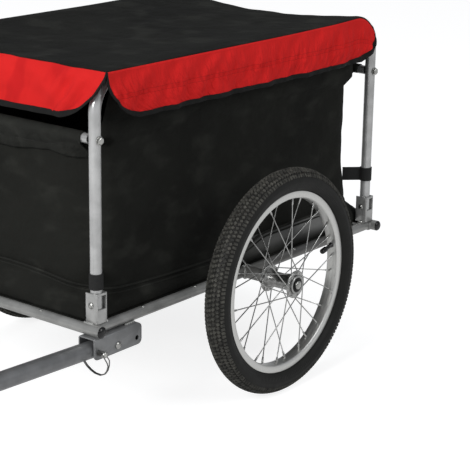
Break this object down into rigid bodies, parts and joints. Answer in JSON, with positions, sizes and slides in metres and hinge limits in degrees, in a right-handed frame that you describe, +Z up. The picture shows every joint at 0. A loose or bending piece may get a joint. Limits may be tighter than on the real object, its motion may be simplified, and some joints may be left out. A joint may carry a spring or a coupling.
{
  "type": "bicycle cargo trailer",
  "caption": "Bicycle cargo trailer: steel tube frame with hoops, cloth bag and flapped cover, quick-release spoked wheels and a side tow bar with a pinned pivot and hitch.",
  "frame": {"origin": "on the floor under the middle of the trailer's overall box, tow bar and hitch included", "axes": "+X towards the trailer's left side, where the tow bar is; +Y to the rear; -Y forwards along the tow bar, towards the bicycle; +Z up"},
  "size_m": [0.652, 1.4205, 0.6074],
  "materials": {
    "frame_paint": "satin silver-grey paint",
    "hoop_paint": "satin light grey paint",
    "tow_paint": "satin grey paint",
    "zinc": "bright zinc plate",
    "dark_steel": "black oxide",
    "aluminium": "satin",
    "tyre": "matt, fine tread",
    "black_plastic": "moulded",
    "black_cloth": "coated woven polyester",
    "red_cloth": "coated woven polyester, black top and binding",
    "webbing": "ribbed webbing",
    "board": "smooth"
  },
  "bodies": {
    "trailer": {"left_rail": "frame_paint", "left_axle_stub": "frame_paint", "left_hoop": "hoop_paint", "right_rail": "frame_paint", "right_axle_stub": "frame_paint", "right_hoop": "hoop_paint", "front_cross_tube": "frame_paint", "front_crossbar": "hoop_paint", "rear_cross_tube": "frame_paint", "rear_crossbar": "hoop_paint", "front_left_end_cap": "black_plastic", "front_left_socket": "frame_paint", "front_left_hoop_rivet": "zinc", "front_left_crossbar_bolt": "zinc", "front_left_strap": "webbing", "front_right_end_cap": "black_plastic", "front_right_socket": "frame_paint", "front_right_hoop_rivet": "zinc", "front_right_crossbar_bolt": "zinc", "front_right_strap": "webbing", "rear_left_end_cap": "black_plastic", "rear_left_socket": "frame_paint", "rear_left_hoop_rivet": "zinc", "rear_left_crossbar_bolt": "zinc", "rear_left_strap": "webbing", "rear_right_end_cap": "black_plastic", "rear_right_socket": "frame_paint", "rear_right_hoop_rivet": "zinc", "rear_right_crossbar_bolt": "zinc", "rear_right_strap": "webbing", "axle_tube": "frame_paint", "cargo_bag": "black_cloth", "floor_board": "board", "tow_channel": "frame_paint", "tow_bar_pivot_bolt": "zinc"},
    "cover": {"cover": "red_cloth"},
    "tow_bar": {"tow_bar": "tow_paint", "tow_bar_fork": "zinc", "hitch_pivot_bolt": "zinc"},
    "lock_pin": {"lock_pin": "zinc"},
    "bail": {"lock_pin_bail": "zinc"},
    "hitch_knuckle": {"hitch_knuckle": "dark_steel"},
    "hitch_bracket": {"hitch_bracket": "zinc"},
    "hitch_pin": {"hitch_pin": "zinc"},
    "left_axle": {"left_axle": "dark_steel"},
    "left_button": {"left_release_button": "zinc"},
    "left_wheel": {"left_tyre": "tyre", "left_rim": "aluminium", "left_valve": "black_plastic", "left_spoked_hub": "aluminium", "left_outer_bearing": "dark_steel", "left_inner_bearing": "dark_steel"},
    "right_axle": {"right_axle": "dark_steel"},
    "right_button": {"right_release_button": "zinc"},
    "right_wheel": {"right_tyre": "tyre", "right_rim": "aluminium", "right_valve": "black_plastic", "right_spoked_hub": "aluminium", "right_outer_bearing": "dark_steel", "right_inner_bearing": "dark_steel"}
  },
  "joints": [
    {"name": "cover_lift", "type": "slide", "parent": "trailer", "child": "cover", "axis": [0, 0, 1], "range_m": [0, 0.15]},
    {"name": "tow_bar_fold", "type": "hinge", "parent": "trailer", "child": "tow_bar", "pos_m": [0.2065, -0.02825, 0.1635], "axis": [1, 0, 0], "range_deg": [0, 18]},
    {"name": "lock_pin_pull", "type": "slide", "parent": "trailer", "child": "lock_pin", "axis": [1, 0, 0], "range_m": [0, 0.055]},
    {"name": "bail_swing", "type": "hinge", "parent": "lock_pin", "child": "bail", "pos_m": [0.2343, -0.07275, 0.1635], "axis": [0, -0.8192, 0.5736], "range_deg": [0, 101]},
    {"name": "hitch_pitch", "type": "hinge", "parent": "tow_bar", "child": "hitch_knuckle", "pos_m": [0.105, -0.59125, 0.27], "axis": [1, 0, 0], "range_deg": [-30, 30]},
    {"name": "hitch_yaw", "type": "hinge", "parent": "hitch_knuckle", "child": "hitch_bracket", "pos_m": [0.105, -0.63025, 0.27], "axis": [0, 0, 1], "range_deg": [-60, 60]},
    {"name": "hitch_pin_lift", "type": "slide", "parent": "hitch_bracket", "child": "hitch_pin", "axis": [0, 0, 1], "range_m": [0, 0.05]},
    {"name": "left_axle_release", "type": "slide", "parent": "trailer", "child": "left_axle", "axis": [1, 0, 0], "range_m": [0, 0.09]},
    {"name": "left_button_press", "type": "slide", "parent": "left_axle", "child": "left_button", "axis": [-1, 0, 0], "range_m": [0, 0.0018], "stiffness_N_per_m": 300, "springref_m": -0.003},
    {"name": "left_wheel_spin", "type": "hinge", "parent": "left_axle", "child": "left_wheel", "pos_m": [0, 0.31475, 0.1975], "axis": [1, 0, 0], "continuous": true},
    {"name": "right_axle_release", "type": "slide", "parent": "trailer", "child": "right_axle", "axis": [-1, 0, 0], "range_m": [0, 0.09]},
    {"name": "right_button_press", "type": "slide", "parent": "right_axle", "child": "right_button", "axis": [1, 0, 0], "range_m": [0, 0.0018], "stiffness_N_per_m": 300, "springref_m": -0.003},
    {"name": "right_wheel_spin", "type": "hinge", "parent": "right_axle", "child": "right_wheel", "pos_m": [0, 0.31475, 0.1975], "axis": [1, 0, 0], "continuous": true}
  ],
  "couplings": [
    {"joint": "bail_swing", "follows": "lock_pin_pull", "rad_per_m": 32}
  ]
}
